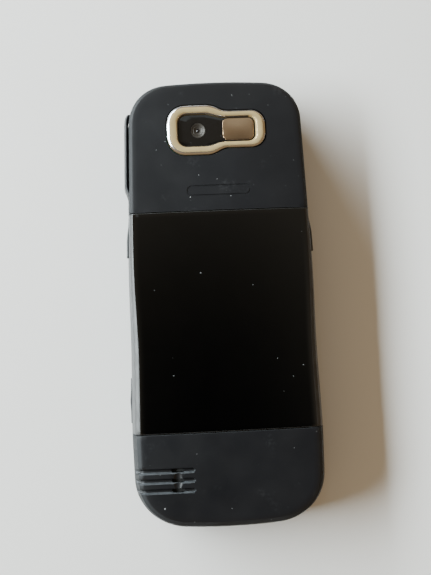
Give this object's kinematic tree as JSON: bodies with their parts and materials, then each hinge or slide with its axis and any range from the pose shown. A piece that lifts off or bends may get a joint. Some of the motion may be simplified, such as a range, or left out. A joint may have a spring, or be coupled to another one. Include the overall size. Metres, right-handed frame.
{
  "type": "mobile phone",
  "caption": "Slim candybar mobile phone lying face down: soft-touch shell, gloss battery cover, keyhole camera bezel with mirror, side keys and speaker grooves.",
  "frame": {"origin": "centre of the footprint, on the front face that the phone rests on", "axes": "+Y to the camera end, +Z out of the back, +X to the right when the back is seen with the camera end up"},
  "size_m": [0.0475, 0.1094, 0.0143],
  "materials": {
    "soft_touch": "soft-touch dark graphite, lightly scuffed",
    "side_band": "satin dark grey",
    "gloss_black": "polished piano black with a few dust specks",
    "champagne_metal": "satin champagne anodised",
    "camera_glass": "dark tinted, polished",
    "lens_glass": "coated lens",
    "bronze_mirror": "bronze tinted convex mirror",
    "display_glass": "clear-coated black display window",
    "key_plastic": "satin charcoal with pale legends",
    "key_metal": "satin champagne anodised",
    "mat_rubber": "translucent grey silicone",
    "black_plastic": "moulded black",
    "circuit_board": "green solder mask",
    "spring_steel": "tin plated",
    "gold_contact": "gold plated",
    "battery_wrap": "metal cell can in a printed film wrap",
    "card_plastic": "moulded card",
    "acoustic_mesh": "woven acoustic mesh"
  },
  "bodies": {
    "phone_body": {"front_cover": "soft_touch", "chassis": "side_band", "rear_top_cover": "soft_touch", "rear_bottom_cover": "soft_touch", "display_window": "display_glass", "display_module": "black_plastic", "earpiece_mesh": "acoustic_mesh", "earpiece": "spring_steel", "microphone": "spring_steel", "keypad_mat": "mat_rubber", "camera_bezel": "champagne_metal", "camera_window": "camera_glass", "portrait_mirror": "bronze_mirror", "camera_module": "black_plastic", "camera_lens": "lens_glass", "headset_jack": "black_plastic", "charger_jack": "spring_steel", "data_socket": "spring_steel", "main_board": "circuit_board", "processor_shield_can": "spring_steel", "rf_shield_can": "spring_steel", "battery": "battery_wrap", "battery_contacts": "gold_contact", "sim_holder": "spring_steel", "sim_card": "card_plastic", "memory_card": "black_plastic", "loudspeaker": "spring_steel", "speaker_dust_mesh": "acoustic_mesh", "antenna": "gold_contact", "vibration_motor": "spring_steel", "screw_1": "spring_steel", "screw_2": "spring_steel", "screw_3": "spring_steel", "screw_4": "spring_steel"},
    "key_1": {"key_1": "key_plastic"},
    "key_2": {"key_2": "key_plastic"},
    "key_3": {"key_3": "key_plastic"},
    "key_4": {"key_4": "key_plastic"},
    "key_5": {"key_5": "key_plastic"},
    "key_6": {"key_6": "key_plastic"},
    "key_7": {"key_7": "key_plastic"},
    "key_8": {"key_8": "key_plastic"},
    "key_9": {"key_9": "key_plastic"},
    "key_star": {"key_star": "key_plastic"},
    "key_0": {"key_0": "key_plastic"},
    "key_hash": {"key_hash": "key_plastic"},
    "soft_key_left": {"soft_key_left": "key_plastic"},
    "soft_key_right": {"soft_key_right": "key_plastic"},
    "call_key": {"call_key": "key_plastic"},
    "end_key": {"end_key": "key_plastic"},
    "select_key": {"select_key": "key_metal"},
    "navigation_plate": {"navigation_plate": "black_plastic"},
    "navigation_ring": {"navigation_ring": "key_plastic"},
    "volume_rocker": {"volume_rocker": "soft_touch"},
    "camera_key": {"camera_key": "side_band"},
    "power_key": {"power_key": "black_plastic"},
    "release_button_left": {"release_button_left": "side_band"},
    "release_button_right": {"release_button_right": "side_band"},
    "battery_cover": {"battery_cover": "gloss_black"},
    "vibration_weight": {"vibration_weight": "spring_steel"}
  },
  "joints": [
    {"name": "key_1_press", "type": "slide", "parent": "phone_body", "child": "key_1", "axis": [0, 0, 1], "range_m": [0, 0.0003], "stiffness_N_per_m": 400},
    {"name": "key_2_press", "type": "slide", "parent": "phone_body", "child": "key_2", "axis": [0, 0, 1], "range_m": [0, 0.0003], "stiffness_N_per_m": 400},
    {"name": "key_3_press", "type": "slide", "parent": "phone_body", "child": "key_3", "axis": [0, 0, 1], "range_m": [0, 0.0003], "stiffness_N_per_m": 400},
    {"name": "key_4_press", "type": "slide", "parent": "phone_body", "child": "key_4", "axis": [0, 0, 1], "range_m": [0, 0.0003], "stiffness_N_per_m": 400},
    {"name": "key_5_press", "type": "slide", "parent": "phone_body", "child": "key_5", "axis": [0, 0, 1], "range_m": [0, 0.0003], "stiffness_N_per_m": 400},
    {"name": "key_6_press", "type": "slide", "parent": "phone_body", "child": "key_6", "axis": [0, 0, 1], "range_m": [0, 0.0003], "stiffness_N_per_m": 400},
    {"name": "key_7_press", "type": "slide", "parent": "phone_body", "child": "key_7", "axis": [0, 0, 1], "range_m": [0, 0.0003], "stiffness_N_per_m": 400},
    {"name": "key_8_press", "type": "slide", "parent": "phone_body", "child": "key_8", "axis": [0, 0, 1], "range_m": [0, 0.0003], "stiffness_N_per_m": 400},
    {"name": "key_9_press", "type": "slide", "parent": "phone_body", "child": "key_9", "axis": [0, 0, 1], "range_m": [0, 0.0003], "stiffness_N_per_m": 400},
    {"name": "key_star_press", "type": "slide", "parent": "phone_body", "child": "key_star", "axis": [0, 0, 1], "range_m": [0, 0.0003], "stiffness_N_per_m": 400},
    {"name": "key_0_press", "type": "slide", "parent": "phone_body", "child": "key_0", "axis": [0, 0, 1], "range_m": [0, 0.0003], "stiffness_N_per_m": 400},
    {"name": "key_hash_press", "type": "slide", "parent": "phone_body", "child": "key_hash", "axis": [0, 0, 1], "range_m": [0, 0.0003], "stiffness_N_per_m": 400},
    {"name": "soft_key_left_press", "type": "slide", "parent": "phone_body", "child": "soft_key_left", "axis": [0, 0, 1], "range_m": [0, 0.0003], "stiffness_N_per_m": 400},
    {"name": "soft_key_right_press", "type": "slide", "parent": "phone_body", "child": "soft_key_right", "axis": [0, 0, 1], "range_m": [0, 0.0003], "stiffness_N_per_m": 400},
    {"name": "call_key_press", "type": "slide", "parent": "phone_body", "child": "call_key", "axis": [0, 0, 1], "range_m": [0, 0.0003], "stiffness_N_per_m": 400},
    {"name": "end_key_press", "type": "slide", "parent": "phone_body", "child": "end_key", "axis": [0, 0, 1], "range_m": [0, 0.0003], "stiffness_N_per_m": 400},
    {"name": "select_key_press", "type": "slide", "parent": "phone_body", "child": "select_key", "axis": [0, 0, 1], "range_m": [0, 0.0003], "stiffness_N_per_m": 400},
    {"name": "navigation_tilt_sideways", "type": "hinge", "parent": "phone_body", "child": "navigation_plate", "pos_m": [0, -0.0088, 0.0015], "axis": [0, 1, 0], "range_deg": [-1.5, 1.5], "stiffness_Nm_per_rad": 0.05},
    {"name": "navigation_tilt_lengthways", "type": "hinge", "parent": "navigation_plate", "child": "navigation_ring", "pos_m": [0, -0.0088, 0.0015], "axis": [1, 0, 0], "range_deg": [-1.5, 1.5], "stiffness_Nm_per_rad": 0.05},
    {"name": "volume_rocker_tilt", "type": "hinge", "parent": "phone_body", "child": "volume_rocker", "pos_m": [-0.02065, 0.03665, 0.0087], "axis": [0, 0, 1], "range_deg": [-1.5, 1.5], "stiffness_Nm_per_rad": 0.1},
    {"name": "camera_key_press", "type": "slide", "parent": "phone_body", "child": "camera_key", "axis": [1, 0, 0], "range_m": [0, 0.0005], "stiffness_N_per_m": 500},
    {"name": "power_key_press", "type": "slide", "parent": "phone_body", "child": "power_key", "axis": [0, -1, 0], "range_m": [0, 0.0004], "stiffness_N_per_m": 500},
    {"name": "release_button_left_press", "type": "slide", "parent": "phone_body", "child": "release_button_left", "axis": [1, 0, 0], "range_m": [0, 0.0006], "stiffness_N_per_m": 500},
    {"name": "release_button_right_press", "type": "slide", "parent": "phone_body", "child": "release_button_right", "axis": [-1, 0, 0], "range_m": [0, 0.0006], "stiffness_N_per_m": 500},
    {"name": "battery_cover_lift", "type": "slide", "parent": "phone_body", "child": "battery_cover", "axis": [0, 0, 1], "range_m": [0, 0.02]},
    {"name": "vibration_weight_spin", "type": "hinge", "parent": "phone_body", "child": "vibration_weight", "pos_m": [0.008, 0.031, 0.0094], "axis": [1, 0, 0], "continuous": true}
  ]
}
